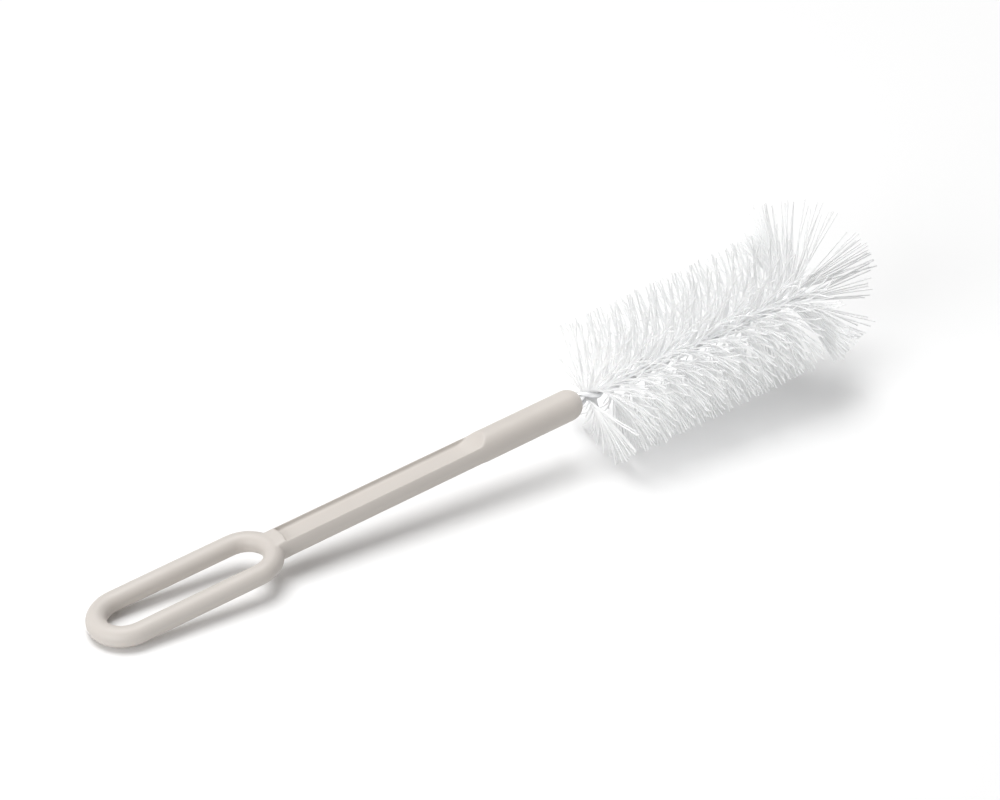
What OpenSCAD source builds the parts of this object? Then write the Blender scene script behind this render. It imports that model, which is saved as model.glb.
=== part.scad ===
// Bottle brush: a moulded handle with a hanging loop and a twisted-in-wire bristle head.
// The brush lies as it comes to rest, on the end of its loop and on its bristles.
// X runs along the brush from the loop to the bristle tip, Z is up, and the ground is Z = 0.

/* [Handle] */
// Length of the moulded handle, from the loop's outer end to the domed end of the neck
handle_len = 173; // [150:1:210]
// Diameter of the round stem and neck
stem_d = 10; // [9:0.1:12]
// Outer length of the hanging loop
loop_len = 63.5; // [50:0.5:75]
// Outer width of the hanging loop
loop_w = 24; // [21:0.5:30]
// Diameter of the loop's round bar
bar_d = 6.3; // [5.5:0.1:7]

/* [Stem channels] */
// Width of the channel in the stem's upper and lower face
channel_w = 7.4; // [6:0.1:8]
// Thickness of the web that is left between the two channels
web_t = 3.4; // [3:0.1:5.5]
// Radius of the corner between a channel's floor and its side walls
channel_fillet = 1; // [0.4:0.1:1]
// Plan radius of the channel's end wall at the loop
channel_nose_r = 8; // [6:0.5:12]
// Radius of the ramp that runs the channel out into the neck
runout_r = 12; // [8:0.5:16]
// Length of the plain round neck between the channel and the domed end
neck_len = 36.5; // [26:0.5:45]

/* [Twisted wire] */
// Diameter of the wire
wire_d = 1.6; // [1.4:0.05:2]
// Length along the axis of one full turn of the twist
twist_pitch = 13; // [11:0.5:16]
// Length of the twisted wire from the neck's end to the start of the bend at the tip
core_len = 87; // [74:1:104]
// Depth to which the wire is moulded into the neck
seat_depth = 16; // [12:0.5:24]
// Gap between the wire and the bore around it
bore_clear = 0.1; // [0.05:0.01:0.2]
// Gap between each strand and the layer of bristles that it grips
grip_clear = 0.08; // [0.06:0.01:0.15]

/* [Bristles] */
// Diameter of one bristle filament
bristle_d = 0.45; // [0.42:0.01:0.6]
// Distance along the wire between neighbouring filaments of one layer
filament_pitch = 0.6; // [0.56:0.01:0.8]
// Diameter of the bristle head around the wire
head_d = 46.5; // [38:0.5:56]
// Length of the longest bristles that fan out at the tip
tip_len = 31.5; // [26:0.5:36]
// Length of wire that holds the longer tip bristles
tip_grip_len = 8; // [6:0.5:11]
// How far the lowest bristles give way under the resting brush
settle = 0.6; // [0.3:0.1:1]

/* [Hidden] */
$fn = 64;

// Handle sizes
stem_r = stem_d / 2;
bar_r = bar_d / 2;
bend_r = loop_w / 2 - bar_r;
near_bend_x = loop_w / 2;
far_bend_x = loop_len - loop_w / 2;
dome_x = handle_len - stem_r;
cut_past = 1;

// Channel sizes
floor_z = web_t / 2;
rim_z = sqrt(stem_r * stem_r - channel_w * channel_w / 4);
nose_back = channel_nose_r - sqrt(channel_nose_r * channel_nose_r - channel_w * channel_w / 4);
loop_land = 0.6;
channel_x = loop_len + loop_land + nose_back;
channel_end_x = handle_len - neck_len;
runout_rise = stem_r - floor_z;
runout_len = sqrt(runout_r * runout_r - pow(runout_r - runout_rise, 2));
ramp_x = channel_end_x - runout_len;

// Flat pad between the loop and the channel: it leaves the loop's bar below the crest and ends above the rims
pad_sink = 0.25;
pad_rise = 0.12;
pad_back = 1;
pad_x = loop_len - bar_r - pad_back;
pad_end_x = channel_x + nose_back / 2;
pad_near_z = bar_r - pad_sink;
pad_far_z = rim_z + pad_rise;

// Wire sizes: the two strands lie either side of two layers of bristles
wire_r = wire_d / 2;
strand_r = wire_r + bristle_d + grip_clear;
bore_r = strand_r + wire_r + bore_clear;
wire_x = handle_len - seat_depth;
wire_end_x = handle_len + core_len;
untwist_len = 7;
end_turn = 62;
untwist_x = wire_end_x - untwist_len;
ring_turn = 36;
ring_step = twist_pitch * ring_turn / 360;
ring_count = ceil((wire_end_x - wire_x) / ring_step);
bend_steps = 6;
wire_sides = 8;

// Bristle rows: each cell along the wire holds one filament, gripped at its middle, in turn in two layers
grip_half = wire_d;
head_r = head_d / 2;
cell_len = filament_pitch / 2;
row_gap = 0.1;
first_cell_gap = 0.5;
side_x = handle_len + first_cell_gap;
tip_x = wire_end_x - tip_grip_len;
side_cells = floor((tip_x - row_gap - side_x) / cell_len);
tip_cells = floor(tip_grip_len / cell_len);
// Angle by which the two layers spread apart around the wire
spread = 24;
// Lean along the axis, from backwards at the neck to forwards at the tip
back_lean = -5;
back_len = 6;
mid_lean = 9;
// Lean of the tip fan: an upright row, a gap, and a spray along the axis
tip_first_lean = 14;
tip_last_lean = 88;
tip_gap_lean = 10;
tip_gap_share = 0.62;
tip_len_drop = 2.5;
// Uneven filament ends, spread and lean
uneven_len = 0.7;
uneven_spread = 4;
uneven_lean = 1;
uneven_seed = 40;
seed_step = 7;
len_salt = 1000;
spread_salt = 2000;
lean_salt = 3000;
// Points for each station of the gripped layers, and for each free end
station_n = 6;
side_n = 3;
end_n = 4;

// Rest on the ground: the loop's end and the first full bristle row touch it
rest_x = side_x + back_len;
rest_r = head_r - settle;
rest_span = rest_x - bar_r;
rest_tilt = atan2(rest_r, rest_span) - asin(bar_r / norm([rest_r, rest_span]));
axis_z = bar_r * (1 - sin(rest_tilt));
rest_min_x = bar_r * cos(rest_tilt) - bar_r;
rest_max_x = max([for (p = row_points(tip_x, tip_cells, true))
    p.x * cos(rest_tilt) - p.z * sin(rest_tilt)]);
rest_mid_x = (rest_min_x + rest_max_x) / 2;

module at_rest() {
    translate([-rest_mid_x, 0, axis_z]) rotate([0, -rest_tilt, 0]) children();
}

// Moulded handle

// Half a ring of the loop's bar, bulging along +X
module loop_bend() {
    rotate([0, 0, -90]) rotate_extrude(angle = 180) translate([bend_r, 0]) circle(r = bar_r);
}

module hanging_loop() {
    translate([near_bend_x, 0, 0]) mirror([1, 0, 0]) loop_bend();
    translate([far_bend_x, 0, 0]) loop_bend();
    for (side = [-1, 1])
        translate([near_bend_x, side * bend_r, 0])
            rotate([0, 90, 0]) cylinder(r = bar_r, h = far_bend_x - near_bend_x);
}

// Side profile of the stem: low and flat at the pad, and clear of the round rod beyond it
module stem_profile() {
    upper = [[pad_x, pad_near_z], [pad_end_x, pad_far_z], [pad_end_x, stem_d], [handle_len, stem_d]];
    lower = [for (i = [len(upper) - 1 : -1 : 0]) [upper[i].x, -upper[i].y]];
    polygon(concat(upper, lower));
}

module stem() {
    intersection() {
        translate([pad_x, 0, 0]) rotate([0, 90, 0]) cylinder(r = stem_r, h = dome_x - pad_x);
        rotate([90, 0, 0]) linear_extrude(stem_d + 2 * cut_past, center = true) stem_profile();
    }
    translate([dome_x, 0, 0]) sphere(r = stem_r);
}

// Bar with the channel's section, rounded where the floor meets the side walls
module channel_bar(from_x, to_x) {
    run = to_x - from_x;
    wall_y = channel_w / 2 - channel_fillet;
    translate([from_x, -channel_w / 2, floor_z + channel_fillet]) cube([run, channel_w, stem_r]);
    translate([from_x, -wall_y, floor_z]) cube([run, 2 * wall_y, stem_r]);
    for (side = [-1, 1])
        translate([from_x, side * wall_y, floor_z + channel_fillet])
            rotate([0, 90, 0]) cylinder(r = channel_fillet, h = run);
}

// Channel along the upper face: a round nose at the loop and a ramp up to the neck
module channel_cut() {
    difference() {
        channel_bar(channel_x - nose_back - cut_past, ramp_x);
        translate([channel_x - channel_nose_r, 0, 0]) cylinder(r = channel_nose_r, h = stem_d);
    }
    intersection() {
        channel_bar(ramp_x - cut_past, channel_end_x + cut_past);
        translate([ramp_x, 0, floor_z + runout_r])
            rotate([90, 0, 0]) cylinder(r = runout_r, h = stem_d, center = true);
    }
}

module handle() {
    color([0.82, 0.80, 0.77]) at_rest() difference() {
        union() {
            hanging_loop();
            stem();
        }
        channel_cut();
        mirror([0, 0, 1]) channel_cut();
        translate([wire_x - wire_r, 0, 0])
            rotate([0, 90, 0]) cylinder(r = bore_r, h = wire_r + seat_depth + cut_past);
    }
}

// Twisted wire

// Turn of the twist at x; it fades to nothing just before the bend, where it comes to its end turn
function twist(x) =
    let (past = max(0, x - untwist_x))
    let (to_end = wire_end_x - x - untwist_len / 2 + past * past / (2 * untwist_len))
    end_turn - to_end * 360 / twist_pitch;

// Twist rate in radians of turn for each millimetre
function twist_rate(x) = (1 - max(0, x - untwist_x) / untwist_len) * 2 * PI / twist_pitch;

// Directions across the wire: the bristles lie along one and the strands along the other
function bristle_dir(turn) = [0, cos(turn), sin(turn)];
function strand_dir(turn) = [0, -sin(turn), cos(turn)];

// Ring of points around a path point, with flats towards the bristles
function wire_ring(centre, tangent, outward) =
    let (beside = cross(tangent, outward))
    [for (i = [0 : wire_sides - 1])
        let (a = (i + 0.5) * 360 / wire_sides)
        centre + wire_r * (cos(a) * outward + sin(a) * beside)];

// Ring on one strand, with travel +1 towards the tip and -1 back to the handle
function strand_ring(x, travel) =
    let (turn = twist(x))
    let (outward = travel * strand_dir(turn))
    let (along = [1, 0, 0] - travel * strand_r * twist_rate(x) * bristle_dir(turn))
    wire_ring([x, 0, 0] + strand_r * outward, travel * along / norm(along), outward);

function bend_ring(angle) =
    let (side = strand_dir(twist(wire_end_x)))
    let (outward = [sin(angle), 0, 0] + cos(angle) * side)
    let (tangent = [cos(angle), 0, 0] - sin(angle) * side)
    wire_ring([wire_end_x, 0, 0] + strand_r * outward, tangent, outward);

function ring_x(i) = wire_x + (wire_end_x - wire_x) * i / ring_count;

// One hairpin of wire: out along one strand, round the bend and back along the other
module twisted_wire() {
    rings = concat(
        [for (i = [0 : ring_count]) strand_ring(ring_x(i), 1)],
        [for (i = [1 : bend_steps - 1]) bend_ring(180 * i / bend_steps)],
        [for (i = [ring_count : -1 : 0]) strand_ring(ring_x(i), -1)]);
    last = len(rings) - 1;
    points = [for (ring = rings) each ring];
    walls = [for (r = [0 : last - 1], i = [0 : wire_sides - 1])
        let (j = (i + 1) % wire_sides)
        let (a = r * wire_sides)
        let (b = a + wire_sides)
        each [[a + i, b + i, b + j], [a + i, b + j, a + j]]];
    near_end = [for (i = [0 : wire_sides - 1]) i];
    far_end = [for (i = [wire_sides - 1 : -1 : 0]) last * wire_sides + i];
    color([0.66, 0.67, 0.68]) at_rest()
        polyhedron(points, concat(walls, [near_end, far_end]), convexity = 10);
}

// Bristle rows

function uneven(k, salt) = rands(-1, 1, 1, uneven_seed + seed_step * k + salt)[0];

// Lean along the axis: backwards beside the neck, a little forwards along the head, and a fan at the tip
function side_lean(k) = min(mid_lean, back_lean + (mid_lean - back_lean) * k * cell_len / back_len);
function tip_lean(k) =
    let (share = k / (tip_cells - 1))
    let (swing = tip_last_lean - tip_gap_lean - tip_first_lean)
    tip_first_lean + swing * share + (share > tip_gap_share ? tip_gap_lean : 0);
function cell_lean(k, is_tip) = (is_tip ? tip_lean(k) : side_lean(k)) + uneven_lean * uneven(k, lean_salt);

// The filament of a cell lies in the upper layer and the next one in the lower layer
function cell_layer(k) = k % 2 == 0 ? 1 : -1;

function ground_height(p) = axis_z + p.x * sin(rest_tilt) + p.z * cos(rest_tilt);

// Length of a free end: to the head's trimmed size, or to the ground where that is nearer
function free_len(root, dir, lean, k, is_tip) =
    let (tip_free = tip_len - tip_len_drop * k / (tip_cells - 1))
    let (full = (is_tip ? tip_free : (head_r - grip_half) / cos(lean)) + uneven_len * uneven(k, len_salt))
    let (fall = -(dir.x * sin(rest_tilt) + dir.z * cos(rest_tilt)))
    fall > 0 ? min(full, (ground_height(root) - bristle_d) / fall) : full;

// Points of the gripped layers at station k: three across the thickness on each side of the wire
function station_points(start_x, k) =
    let (x = start_x + k * cell_len)
    let (turn = twist(x))
    [for (side = [1, -1], layer = [1, 0, -1])
        [x, 0, 0] + side * grip_half * bristle_dir(turn) + layer * bristle_d * strand_dir(turn)];

// Four corners of one free end, in the order back inner, back outer, front outer, front inner
function end_points(start_x, k, side, is_tip) =
    let (layer = cell_layer(k))
    let (x = start_x + (k + 0.5) * cell_len)
    let (turn = twist(x))
    let (lean = cell_lean(k, is_tip))
    let (fan = spread + uneven_spread * uneven(k, spread_salt))
    let (out = side * cos(fan) * bristle_dir(turn) + layer * sin(fan) * strand_dir(turn))
    let (apart = layer * cos(fan) * strand_dir(turn) - side * sin(fan) * bristle_dir(turn))
    let (dir = cos(lean) * out + [sin(lean), 0, 0])
    let (front = [cos(lean), 0, 0] - sin(lean) * out)
    let (root = [x, 0, 0] + side * grip_half * bristle_dir(turn) + layer * bristle_d / 2 * strand_dir(turn))
    let (tip = root + free_len(root, dir, lean, k, is_tip) * dir)
    let (h = bristle_d / 2)
    [for (c = [[-1, -1], [-1, 1], [1, 1], [1, -1]]) tip + h * c.x * front + h * c.y * apart];

function row_points(start_x, cells, is_tip) = concat(
    [for (k = [0 : cells]) each station_points(start_x, k)],
    [for (k = [0 : cells - 1], side = [1, -1]) each end_points(start_x, k, side, is_tip)]);

function flipped(face) = [for (i = [len(face) - 1 : -1 : 0]) face[i]];
function halves(q) = [[q[0], q[1], q[2]], [q[0], q[2], q[3]]];
function turned(faces, sign) = [for (f = faces) sign > 0 ? f : flipped(f)];

// Corners of a filament's root, in the same order as its end
function root_corners(k, side, layer) =
    let (first = station_n * k + (side > 0 ? 0 : side_n))
    let (inner = first + 1)
    let (outer = first + (layer > 0 ? 0 : 2))
    [inner, outer, outer + station_n, inner + station_n];

function filament_faces(root, end, sign) = turned(concat(
    halves([root[3], root[2], end[2], end[3]]),
    halves([root[1], root[0], end[0], end[1]]),
    halves([root[1], end[1], end[2], root[2]]),
    halves([root[0], root[3], end[3], end[0]]),
    halves([end[0], end[3], end[2], end[1]])), sign);

// Where the other layer's filament ends inside the packed layers, its place is closed by a flat
function closed_faces(root, sign) = turned(halves([root[0], root[3], root[2], root[1]]), sign);

// One row of filaments, packed in two layers where the wire grips them and free beyond it
module bristle_row(start_x, cells, is_tip) {
    first_end = station_n * (cells + 1);
    gripped = [for (k = [0 : cells - 1])
        let (a = station_n * k)
        let (b = a + station_n)
        each [[a, b, b + 3], [a, b + 3, a + 3], [a + 2, a + 5, b + 2], [a + 5, b + 5, b + 2]]];
    filaments = [for (k = [0 : cells - 1], s = [0, 1])
        let (side = 1 - 2 * s)
        let (layer = cell_layer(k))
        let (end = first_end + end_n * (2 * k + s))
        each concat(
            filament_faces(root_corners(k, side, layer), [for (i = [0 : end_n - 1]) end + i], side * layer),
            closed_faces(root_corners(k, side, -layer), -side * layer))];
    last = station_n * cells;
    near_end = [[2, 1, 4], [1, 0, 3], [1, 3, 4], [2, 4, 5]];
    far_end = [for (f = near_end) [for (i = flipped(f)) last + i]];
    color([0.96, 0.96, 0.97]) at_rest()
        polyhedron(row_points(start_x, cells, is_tip), concat(gripped, filaments, near_end, far_end),
            convexity = 10);
}

module side_bristles() {
    bristle_row(side_x, side_cells, false);
}

module tip_bristles() {
    bristle_row(tip_x, tip_cells, true);
}

handle();
twisted_wire();
side_bristles();
tip_bristles();
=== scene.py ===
"""Looks of the bottle brush: a moulded handle, a twisted wire and a head of curved nylon filaments."""

import math
import random

import bpy
import numpy as np
from mathutils import Matrix, Vector


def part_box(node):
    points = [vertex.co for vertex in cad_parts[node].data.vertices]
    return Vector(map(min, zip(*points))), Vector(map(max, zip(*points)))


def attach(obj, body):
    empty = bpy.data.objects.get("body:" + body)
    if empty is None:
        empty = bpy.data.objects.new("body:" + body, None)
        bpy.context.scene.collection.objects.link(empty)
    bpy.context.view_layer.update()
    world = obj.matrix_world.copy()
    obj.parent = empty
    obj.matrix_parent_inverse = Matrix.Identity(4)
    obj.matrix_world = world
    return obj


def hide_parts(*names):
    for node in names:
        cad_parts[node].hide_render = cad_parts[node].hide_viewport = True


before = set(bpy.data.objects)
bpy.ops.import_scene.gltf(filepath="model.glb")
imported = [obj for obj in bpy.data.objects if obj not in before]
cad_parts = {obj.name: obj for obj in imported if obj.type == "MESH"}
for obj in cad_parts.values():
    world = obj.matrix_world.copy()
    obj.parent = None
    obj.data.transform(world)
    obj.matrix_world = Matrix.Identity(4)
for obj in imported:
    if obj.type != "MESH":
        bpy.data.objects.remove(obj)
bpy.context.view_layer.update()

MM = 0.001

# Sizes of the brush in millimetres, along its own axis from the loop's outer end. They are those of the
# part's source, apart from two: here the twist fades over a longer end, and the tip's filaments are shorter
BAR_R = 3.15
HANDLE_LEN = 173.0
WIRE_R = 0.8
STRAND_R = 1.33
SEAT_DEPTH = 16.0
CORE_LEN = 87.0
TWIST_PITCH = 13.0
UNTWIST_LEN = 11.0
END_TURN = 62.0
HEAD_R = 23.25
SETTLE = 0.6
TIP_LEN = 30.6
TIP_GRIP_LEN = 8.0
FIRST_CELL_GAP = 0.5
BACK_LEN = 6.0
GRIP_HALF = 1.6

WIRE_X = HANDLE_LEN - SEAT_DEPTH
WIRE_END_X = HANDLE_LEN + CORE_LEN
UNTWIST_X = WIRE_END_X - UNTWIST_LEN
SIDE_X = HANDLE_LEN + FIRST_CELL_GAP
TIP_X = WIRE_END_X - TIP_GRIP_LEN

# Place of the brush at rest: its tilt, and its axis in the shared frame
REST_SPAN = SIDE_X + BACK_LEN - BAR_R
REST_R = HEAD_R - SETTLE
TILT = math.atan2(REST_R, REST_SPAN) - math.asin(BAR_R / math.hypot(REST_R, REST_SPAN))
AXIS_Z = BAR_R * (1 - math.sin(TILT))
MID_X = BAR_R * (math.cos(TILT) - 1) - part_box("handle")[0].x / MM


def at_rest(points):
    """Points along the brush's own axis, in millimetres, as points of the shared frame, in metres."""
    p = np.asarray(points, float)
    c, s = math.cos(TILT), math.sin(TILT)
    placed = np.stack([
        p[..., 0] * c - p[..., 2] * s - MID_X,
        p[..., 1],
        p[..., 0] * s + p[..., 2] * c + AXIS_Z,
    ], axis=-1)
    return placed * MM


def height(point):
    """Height above the ground of a point along the brush's own axis, in millimetres."""
    return point[0] * math.sin(TILT) + point[2] * math.cos(TILT) + AXIS_Z


# Mesh helpers

def new_piece(name, mesh, node, material):
    """A piece that rides on the brush and stands for one of its solids."""
    piece = bpy.data.objects.new(name, mesh)
    bpy.context.scene.collection.objects.link(piece)
    mesh.materials.clear()
    mesh.materials.append(material)
    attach(piece, "root")
    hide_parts(node)


def tube_rings(path, radius, sides):
    """Rings of points around a path, turned as little as possible from ring to ring."""
    path = np.asarray(path, float)
    tangents = np.gradient(path, axis=0)
    tangents /= np.linalg.norm(tangents, axis=1)[:, None]
    start = np.array([0.0, 0.0, 1.0]) if abs(tangents[0][2]) < 0.9 else np.array([0.0, 1.0, 0.0])
    normal = np.cross(tangents[0], start)
    normal /= np.linalg.norm(normal)
    turns = np.arange(sides) * 2 * math.pi / sides
    rings = []
    for point, tangent in zip(path, tangents):
        normal = normal - tangent * (normal @ tangent)
        normal /= np.linalg.norm(normal)
        beside = np.cross(tangent, normal)
        rings.append(point + radius * (np.outer(np.cos(turns), normal) + np.outer(np.sin(turns), beside)))
    return np.array(rings)


def tube_mesh(name, paths, radius, sides, rounded):
    """One mesh of closed tubes with flat ends, whose walls are shaded round or as flat faces."""
    vertices, faces, flat = [], [], []
    for path in paths:
        rings = tube_rings(path, radius, sides)
        base = len(vertices)
        vertices.extend(rings.reshape(-1, 3).tolist())
        for r in range(len(rings) - 1):
            a = base + r * sides
            b = a + sides
            for i in range(sides):
                j = (i + 1) % sides
                faces.append((a + i, a + j, b + j, b + i))
        last = base + (len(rings) - 1) * sides
        flat.extend([len(faces), len(faces) + 1])
        faces.append(tuple(base + i for i in reversed(range(sides))))
        faces.append(tuple(last + i for i in range(sides)))
    mesh = bpy.data.meshes.new(name)
    mesh.from_pydata(vertices, [], faces)
    smooth = np.full(len(faces), rounded)
    smooth[flat] = False
    mesh.polygons.foreach_set("use_smooth", smooth)
    mesh.update()
    return mesh


# Material helpers

def new_material(name):
    """A node material with only a Principled shader and its output."""
    material = bpy.data.materials.new(name)
    material.use_nodes = True
    tree = material.node_tree
    return material, tree, tree.nodes["Principled BSDF"]


def add_node(tree, kind, **values):
    """A new node, with values for its inputs or its settings."""
    node = tree.nodes.new(kind)
    for key, value in values.items():
        if key in node.inputs:
            node.inputs[key].default_value = value
        else:
            setattr(node, key, value)
    return node


def noise(tree, scale, detail, rough=0.5, stretch=None):
    """Noise in the shared frame, with so many features to the metre."""
    place = add_node(tree, "ShaderNodeTexCoord")
    source = place.outputs["Object"]
    if stretch is not None:
        mapping = add_node(tree, "ShaderNodeMapping", Scale=stretch)
        tree.links.new(source, mapping.inputs["Vector"])
        source = mapping.outputs["Vector"]
    texture = add_node(tree, "ShaderNodeTexNoise", Scale=scale, Detail=detail, Roughness=rough)
    tree.links.new(source, texture.inputs["Vector"])
    return texture.outputs["Fac"]


def ramp(tree, source, pair, start=0.3, end=0.7):
    """A pair of colours or of numbers, mixed by a noise value."""
    node = add_node(tree, "ShaderNodeValToRGB")
    for element, position, value in zip(node.color_ramp.elements, (start, end), pair):
        element.position = position
        element.color = value if isinstance(value, tuple) else (value, value, value, 1)
    tree.links.new(source, node.inputs["Fac"])
    return node.outputs["Color"]


def bump(tree, shader, source, strength, depth):
    """Fine relief from a noise value, so many metres deep."""
    node = add_node(tree, "ShaderNodeBump", Strength=strength, Distance=depth)
    tree.links.new(source, node.inputs["Height"])
    tree.links.new(node.outputs["Normal"], shader.inputs["Normal"])


# Materials, each with the pairs between which its colour and its roughness wander

PLASTIC_COLOURS = ((0.592, 0.550, 0.510, 1), (0.622, 0.580, 0.540, 1))
PLASTIC_ROUGHNESS = (0.40, 0.50)
PLASTIC_SPECULAR = 0.45
STEEL_COLOURS = ((0.76, 0.76, 0.77, 1), (0.88, 0.88, 0.89, 1))
STEEL_ROUGHNESS = (0.30, 0.45)
NYLON_COLOURS = ((0.955, 0.96, 0.965, 1), (0.995, 0.995, 0.995, 1))
NYLON_ROUGHNESS = (0.30, 0.45)
NYLON_IOR = 1.53
NYLON_SHEEN = 0.7
NYLON_SHEEN_ROUGHNESS = 0.5


def handle_plastic():
    """Satin moulded plastic, warm light grey, with a faint flow mottle and a fine moulded grain."""
    material, tree, shader = new_material("handle_plastic")
    mottle = noise(tree, scale=55, detail=4, rough=0.6, stretch=(0.35, 1, 1))
    tree.links.new(ramp(tree, mottle, PLASTIC_COLOURS), shader.inputs["Base Color"])
    polish = noise(tree, scale=420, detail=3)
    tree.links.new(ramp(tree, polish, PLASTIC_ROUGHNESS), shader.inputs["Roughness"])
    bump(tree, shader, noise(tree, scale=5200, detail=2), strength=0.12, depth=0.00004)
    shader.inputs["Specular IOR Level"].default_value = PLASTIC_SPECULAR
    return material


def wire_steel():
    """Bright drawn wire, with streaks along it and a little dullness in patches."""
    material, tree, shader = new_material("wire_steel")
    streak = noise(tree, scale=900, detail=3, rough=0.55, stretch=(0.08, 1, 1))
    tree.links.new(ramp(tree, streak, STEEL_COLOURS), shader.inputs["Base Color"])
    patches = noise(tree, scale=300, detail=2)
    tree.links.new(ramp(tree, patches, STEEL_ROUGHNESS), shader.inputs["Roughness"])
    bump(tree, shader, streak, strength=0.15, depth=0.00003)
    shader.inputs["Metallic"].default_value = 1.0
    return material


def bristle_nylon():
    """White nylon filament with a soft sheen, and small differences from one filament to the next."""
    material, tree, shader = new_material("bristle_nylon")
    tone = noise(tree, scale=700, detail=2)
    tree.links.new(ramp(tree, tone, NYLON_COLOURS), shader.inputs["Base Color"])
    polish = noise(tree, scale=1500, detail=2)
    tree.links.new(ramp(tree, polish, NYLON_ROUGHNESS), shader.inputs["Roughness"])
    bump(tree, shader, noise(tree, scale=4000, detail=1), strength=0.10, depth=0.00003)
    shader.inputs["IOR"].default_value = NYLON_IOR
    shader.inputs["Sheen Weight"].default_value = NYLON_SHEEN
    shader.inputs["Sheen Roughness"].default_value = NYLON_SHEEN_ROUGHNESS
    return material


# Handle

# Cells of its even mesh, in metres, and the smoothing that rounds its edges
HANDLE_VOXEL = 0.0003
HANDLE_SMOOTH_STEPS = 12
HANDLE_SMOOTH = 0.5


def make_handle():
    """The moulded handle with its edges and corners rounded, as they come from a mould.

    It is laid level for the even mesh, so that the mesh runs along the stem, and then tilted back.
    """
    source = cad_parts["handle"]
    copy = bpy.data.objects.new("handle_copy", source.data.copy())
    copy.data.transform(Matrix.Rotation(TILT, 4, "Y"))
    bpy.context.scene.collection.objects.link(copy)
    remesh = copy.modifiers.new("even_mesh", "REMESH")
    remesh.mode = "VOXEL"
    remesh.voxel_size = HANDLE_VOXEL
    remesh.use_smooth_shade = True
    soften = copy.modifiers.new("soften", "SMOOTH")
    soften.factor = HANDLE_SMOOTH
    soften.iterations = HANDLE_SMOOTH_STEPS
    bpy.context.view_layer.update()
    graph = bpy.context.evaluated_depsgraph_get()
    mesh = bpy.data.meshes.new_from_object(copy.evaluated_get(graph))
    mesh.name = "handle_moulding"
    mesh.transform(Matrix.Rotation(-TILT, 4, "Y"))
    bpy.data.objects.remove(copy)
    new_piece("handle_moulding", mesh, "handle", handle_plastic())


# Twisted wire

WIRE_SIDES = 14
# Turn of the twist from one ring of points to the next, in degrees
WIRE_RING_DEG = 12.0
WIRE_BEND_STEPS = 12


def twist(x):
    """Turn of the twist at x, in radians. It fades to nothing just before the bend."""
    past = max(0.0, x - UNTWIST_X)
    to_end = WIRE_END_X - x - UNTWIST_LEN / 2 + past * past / (2 * UNTWIST_LEN)
    return math.radians(END_TURN) - to_end * 2 * math.pi / TWIST_PITCH


def bristle_dir(turn):
    """The way out between the two strands, where the bristles leave."""
    return np.array([0.0, math.cos(turn), math.sin(turn)])


def strand_dir(turn):
    """The way from the axis to a strand."""
    return np.array([0.0, -math.sin(turn), math.cos(turn)])


def wire_path():
    """One hairpin of wire: out along one strand, round the bend and back along the other."""
    count = round((WIRE_END_X - WIRE_X) / (TWIST_PITCH * WIRE_RING_DEG / 360))
    stations = np.linspace(WIRE_X, WIRE_END_X, count + 1)
    axis = np.array([1.0, 0.0, 0.0])
    side = strand_dir(twist(WIRE_END_X))
    out = [x * axis + STRAND_R * strand_dir(twist(x)) for x in stations]
    bend = [WIRE_END_X * axis + STRAND_R * (math.sin(a) * axis + math.cos(a) * side)
            for a in np.linspace(0, math.pi, WIRE_BEND_STEPS + 1)[1:-1]]
    back = [x * axis - STRAND_R * strand_dir(twist(x)) for x in stations[::-1]]
    return np.array(out + bend + back)


def make_wire():
    """Both strands and the bend between them, as one round tube."""
    mesh = tube_mesh("twisted_wire_strands", [at_rest(wire_path())], WIRE_R * MM, WIRE_SIDES, rounded=True)
    new_piece("twisted_wire_strands", mesh, "twisted_wire", wire_steel())


# Bristle filaments, in millimetres and degrees

FILAMENT_R = 0.225
FILAMENT_SIDES = 6
FILAMENT_SEGMENTS = 7
FILAMENT_STEP = 1.0
GROUND_GAP = 0.3
SIDE_FILAMENTS = 470
NECK_FILAMENTS = 16
TIP_FILAMENTS = 84
SIDE_SEED = 11
TIP_SEED = 12
# Longer than any filament, where nothing trims it
NO_LIMIT = 2 * HEAD_R
# Place of a filament in its layer between the strands, in its own radii
LAYER_OFFSET = 1.1
# Bare wire between the neck and the first filament
FIRST_FILAMENT = 1.6
# Lean along the axis: where a filament leaves the wire, where it ends, and beside the neck
ROOT_LEAN = 26.0
END_LEAN = -1.0
NECK_LEAN = 1.0
# Above one, a filament bends more near its root
BEND_POWER = 1.2
# Spread around the wire, and the shares of it at a filament's root and gained by its end
LEAST_SPREAD = 2.0
SPREAD = 54.0
TIP_SPREAD = 30.0
SPREAD_AT_ROOT = 0.4
SPREAD_GAINED = 0.8
# Even scatter over the spread, as shares of it: from filament to filament, and between its two ends
EVEN_STEP = 0.618034
OTHER_END_STEP = 0.5
# What the trim leaves past the head's radius, and small differences between filaments
TRIM_SPARE = 0.4
UNEVEN_TRIM = 0.25
UNEVEN_LEN = 0.6
UNEVEN_FAN = 1.0
UNEVEN_ROOT_LEAN = 1.5
UNEVEN_SIDE_LEAN = 1.2
UNEVEN_TIP_LEAN = 2.0
# The fan at the tip: an upright row, a gap, and a spray that points along the axis
TIP_FIRST_LEAN = 13.0
TIP_LAST_LEAN = 97.0
TIP_GAP_AT = 0.6
TIP_GAP = 14.0
TIP_LAST_LEN = 31.0
TIP_LOWER_CUT = 6.5
# Where the upright row starts on the wire, and the length before it in which the side filaments turn to it
TIP_ROW_START = 2.6
TIP_ROW_X = TIP_X + TIP_ROW_START
TIP_APPROACH = 6.0
# Bend of the filaments in the upright row: more lean at the root, and less at the end
TIP_ROOT_MORE = 6.0
TIP_END_LESS = 4.0
# Above one, the filaments at the tip crowd towards its upright row
TIP_CROWDING = 2.8


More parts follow.
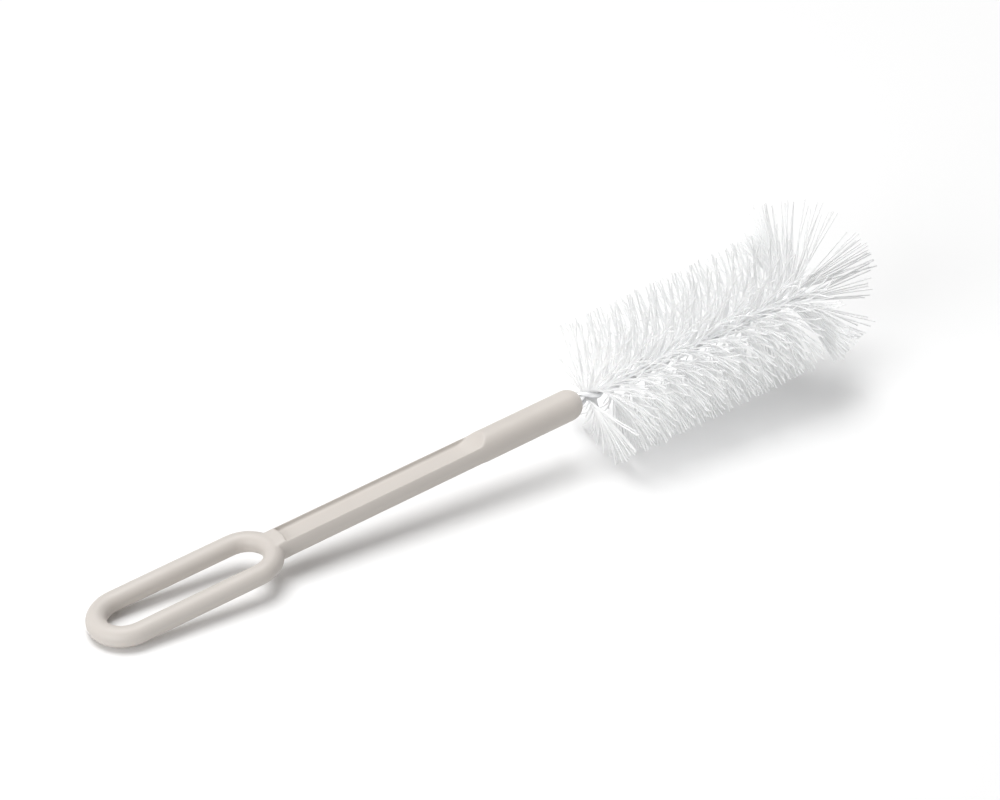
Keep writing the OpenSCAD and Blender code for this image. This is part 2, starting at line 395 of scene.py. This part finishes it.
def side_leans(x):
    """Lean at the root and at the end. It starts upright at the neck, and nears the fan's lean at the tip."""
    share = min(1.0, (x - SIDE_X) / BACK_LEN)
    near_tip = max(0.0, 1 - (TIP_ROW_X - x) / TIP_APPROACH)
    root = NECK_LEAN + (ROOT_LEAN - NECK_LEAN) * share
    end = NECK_LEAN + (END_LEAN - NECK_LEAN) * share
    return root, end + TIP_FIRST_LEAN * near_tip


def tip_leans(x):
    """Lean of the longer filaments at the tip, which turns towards the axis along the last of the wire."""
    share = (x - TIP_ROW_X) / (WIRE_END_X - TIP_ROW_X)
    lean = TIP_FIRST_LEAN + (TIP_LAST_LEAN - TIP_GAP - TIP_FIRST_LEAN) * share
    lean += TIP_GAP if share > TIP_GAP_AT else 0.0
    return lean + TIP_ROOT_MORE * (1 - share), lean - TIP_END_LESS * (1 - share)


def resample(path, segments):
    """The same path in so many equal lengths."""
    path = np.asarray(path)
    run = np.concatenate([[0], np.cumsum(np.linalg.norm(np.diff(path, axis=0), axis=1))])
    at = np.linspace(0, run[-1], segments + 1)
    return np.stack([np.interp(at, run, path[:, i]) for i in range(3)], axis=1)


def free_end(x, side, fan, leans, reach, length):
    """One free end from the grip outwards, which bends as it goes.

    It stops at its length, at reach from the axis, or just above the ground.
    """
    turn = twist(x)
    point = np.array([x, 0.0, 0.0]) + side * GRIP_HALF * bristle_dir(turn)
    path = [point]
    run = 0.0
    while run < length:
        share = min(1.0, run / HEAD_R)
        fan_here = math.radians(fan * (SPREAD_AT_ROOT + SPREAD_GAINED * share))
        lean_here = math.radians(leans[1] + (leans[0] - leans[1]) * (1 - share) ** BEND_POWER)
        outward = math.cos(fan_here) * side * bristle_dir(turn) + math.sin(fan_here) * strand_dir(turn)
        heading = math.cos(lean_here) * outward + np.array([math.sin(lean_here), 0.0, 0.0])
        step = min(FILAMENT_STEP, length - run)
        nxt = point + step * heading
        if height(nxt) < GROUND_GAP:
            break
        across = math.hypot(nxt[1], nxt[2])
        if across > reach:
            before = math.hypot(point[1], point[2])
            path.append(point + (nxt - point) * (reach - before) / (across - before))
            break
        path.append(nxt)
        point = nxt
        run += step
    return resample(path, FILAMENT_SEGMENTS)


def filament(k, x, rng, spread, leans, uneven_lean, reach, lengths):
    """A whole filament: two free ends, and the grip between the strands."""
    layer = 1 if k % 2 else -1
    ends = []
    for side, length, shift in ((1, lengths[0], 0.0), (-1, lengths[1], OTHER_END_STEP)):
        share = (k // 2 * EVEN_STEP + shift) % 1.0
        fan = layer * (LEAST_SPREAD + (spread - LEAST_SPREAD) * share) + rng.gauss(0, UNEVEN_FAN)
        root = leans[0] + rng.gauss(0, UNEVEN_ROOT_LEAN)
        end = leans[1] + rng.gauss(0, uneven_lean)
        end_reach = reach + TRIM_SPARE + rng.gauss(0, UNEVEN_TRIM)
        end_length = length + rng.gauss(0, UNEVEN_LEN)
        ends.append(free_end(x, side, fan, (root, end), end_reach, end_length))
    gripped = np.array([x, 0.0, 0.0]) + layer * FILAMENT_R * LAYER_OFFSET * strand_dir(twist(x))
    return at_rest(np.concatenate([ends[0][::-1], [gripped], ends[1]]))


def make_bristles(name, node, material, seed, stations, lengths, reach, spread, leans_of, uneven_lean):
    """All filaments of one node, one at each station, with flat faces that catch the light."""
    rng = random.Random(seed)
    paths = [filament(k, x, rng, spread, leans_of(x), uneven_lean, reach, lengths[k])
             for k, x in enumerate(stations)]
    mesh = tube_mesh(name, paths, FILAMENT_R * MM, FILAMENT_SIDES, rounded=False)
    new_piece(name, mesh, node, material)


def make_side_bristles(nylon):
    """The trimmed filaments along the head, a little denser beside the neck."""
    along = np.linspace(SIDE_X + FIRST_FILAMENT, TIP_ROW_X, SIDE_FILAMENTS)
    at_neck = np.linspace(SIDE_X + FIRST_FILAMENT, SIDE_X + BACK_LEN, NECK_FILAMENTS)
    stations = np.sort(np.concatenate([along, at_neck]))
    lengths = np.full((len(stations), 2), NO_LIMIT)
    make_bristles("side_filaments", "side_bristles", nylon, SIDE_SEED, stations, lengths, HEAD_R,
                  SPREAD, side_leans, UNEVEN_SIDE_LEAN)


def make_tip_bristles(nylon):
    """The longer filaments at the tip, whose lower ends are shorter except along the axis."""
    share = np.linspace(0, 1, TIP_FILAMENTS) ** TIP_CROWDING
    stations = TIP_ROW_X + (WIRE_END_X - TIP_ROW_X) * share
    upper = TIP_LEN + (TIP_LAST_LEN - TIP_LEN) * share
    lower = upper - TIP_LOWER_CUT * (1 - share ** 2)
    lengths = np.stack([upper, lower], axis=1)
    make_bristles("tip_filaments", "tip_bristles", nylon, TIP_SEED, stations, lengths, NO_LIMIT,
                  TIP_SPREAD, tip_leans, UNEVEN_TIP_LEAN)


def make_head():
    """Both groups of bristles, of the same nylon."""
    nylon = bristle_nylon()
    make_side_bristles(nylon)
    make_tip_bristles(nylon)


# Studio

WHITE = (1.0, 1.0, 1.0, 1)
PAPER = (0.86, 0.86, 0.86, 1)
FLOOR_SIZE = 6.0
# Distances from the middle between which the floor turns into the plain white background
FLOOR_FADE = (0.28, 0.55)
WORLD_LIGHT = 0.21
# Lamps, in metres and watts
KEY = {"place": (-0.03, 0.36, 1.5), "aim": (0.02, 0, 0), "size": 1.3, "power": 20.2}
SIDE_FILL = {"place": (-1.5, -0.5, 0.5), "aim": (0, 0, 0.02), "size": 1.2, "power": 14}
# Many bounces, because white filaments pass the light on from one to the next
MAX_BOUNCES = 32
DIFFUSE_BOUNCES = 24
# The photo's camera, in metres, with its lens and its sensor in millimetres
TARGET = Vector((-0.0039, 0.0, 0.012))
CAMERA_DIR = Vector((-0.4649, -0.6919, 0.5523))
CAMERA_DISTANCE = 0.9
LENS = 105.3
SENSOR_WIDTH = 36.0
SHIFT = (0.0054, 0.0574)


def seen_ray(tree):
    """One for rays that show the background: from the camera, a reflection or something clear."""
    path = add_node(tree, "ShaderNodeLightPath")
    either = add_node(tree, "ShaderNodeMath", operation="MAXIMUM")
    tree.links.new(path.outputs["Is Camera Ray"], either.inputs[0])
    tree.links.new(path.outputs["Is Glossy Ray"], either.inputs[1])
    any_of = add_node(tree, "ShaderNodeMath", operation="MAXIMUM")
    tree.links.new(either.outputs["Value"], any_of.inputs[0])
    tree.links.new(path.outputs["Is Transmission Ray"], any_of.inputs[1])
    return any_of.outputs["Value"]


def far_from_middle(tree):
    """Zero around the object, one where the floor is only background."""
    place = add_node(tree, "ShaderNodeTexCoord")
    away = add_node(tree, "ShaderNodeVectorMath", operation="LENGTH")
    tree.links.new(place.outputs["Object"], away.inputs[0])
    fade = add_node(tree, "ShaderNodeMapRange", **{"From Min": FLOOR_FADE[0], "From Max": FLOOR_FADE[1]})
    tree.links.new(away.outputs["Value"], fade.inputs["Value"])
    return fade.outputs["Result"]


def mix(tree, share, first, second):
    """A shader between two others."""
    node = add_node(tree, "ShaderNodeMixShader")
    tree.links.new(share, node.inputs["Fac"])
    tree.links.new(first, node.inputs[1])
    tree.links.new(second, node.inputs[2])
    return node.outputs["Shader"]


def white_floor():
    """Plain white floor with the object's shadow. It is seen a little brighter, and white far away."""
    material, tree, shader = new_material("white_floor")
    tree.nodes.remove(shader)
    paper = add_node(tree, "ShaderNodeBsdfDiffuse", Color=PAPER)
    near = add_node(tree, "ShaderNodeBsdfDiffuse", Color=WHITE)
    far = add_node(tree, "ShaderNodeEmission", Color=WHITE, Strength=1.0)
    seen = mix(tree, far_from_middle(tree), near.outputs["BSDF"], far.outputs["Emission"])
    shown = mix(tree, seen_ray(tree), paper.outputs["BSDF"], seen)
    tree.links.new(shown, tree.nodes["Material Output"].inputs["Surface"])
    return material


def make_floor():
    """A large flat floor at height zero."""
    half = FLOOR_SIZE / 2
    corners = [(-half, -half, 0), (half, -half, 0), (half, half, 0), (-half, half, 0)]
    mesh = bpy.data.meshes.new("floor")
    mesh.from_pydata(corners, [], [(0, 1, 2, 3)])
    mesh.materials.append(white_floor())
    floor = bpy.data.objects.new("floor", mesh)
    bpy.context.scene.collection.objects.link(floor)


def make_light(name, place, aim, size, power):
    """A round area lamp, so many metres wide, that points at its aim."""
    data = bpy.data.lights.new(name, "AREA")
    data.shape = "DISK"
    data.size = size
    data.energy = power
    lamp = bpy.data.objects.new(name, data)
    lamp.location = place
    lamp.rotation_euler = (Vector(aim) - Vector(place)).to_track_quat("-Z", "Y").to_euler()
    bpy.context.scene.collection.objects.link(lamp)


def make_world():
    """Even light from all around, seen as plain white."""
    world = bpy.data.worlds.new("studio")
    world.use_nodes = True
    tree = world.node_tree
    light = tree.nodes["Background"]
    light.inputs["Color"].default_value = WHITE
    light.inputs["Strength"].default_value = WORLD_LIGHT
    white = add_node(tree, "ShaderNodeBackground", Color=WHITE, Strength=1.0)
    shown = mix(tree, seen_ray(tree), light.outputs["Background"], white.outputs["Background"])
    tree.links.new(shown, tree.nodes["World Output"].inputs["Surface"])
    bpy.context.scene.world = world


def make_camera():
    """The photo's view."""
    data = bpy.data.cameras.new("camera")
    data.lens = LENS
    data.sensor_width = SENSOR_WIDTH
    data.shift_x, data.shift_y = SHIFT
    camera = bpy.data.objects.new("camera", data)
    camera.location = TARGET + CAMERA_DISTANCE * CAMERA_DIR
    camera.rotation_euler = (-CAMERA_DIR).to_track_quat("-Z", "Y").to_euler()
    bpy.context.scene.collection.objects.link(camera)
    bpy.context.scene.camera = camera


def make_studio():
    """Floor, light and camera."""
    scene = bpy.context.scene
    make_floor()
    make_world()
    make_light("key", **KEY)
    make_light("side_fill", **SIDE_FILL)
    make_camera()
    scene.cycles.max_bounces = MAX_BOUNCES
    scene.cycles.diffuse_bounces = DIFFUSE_BOUNCES
    scene.view_settings.view_transform = "Standard"


make_handle()
make_wire()
make_head()
make_studio()
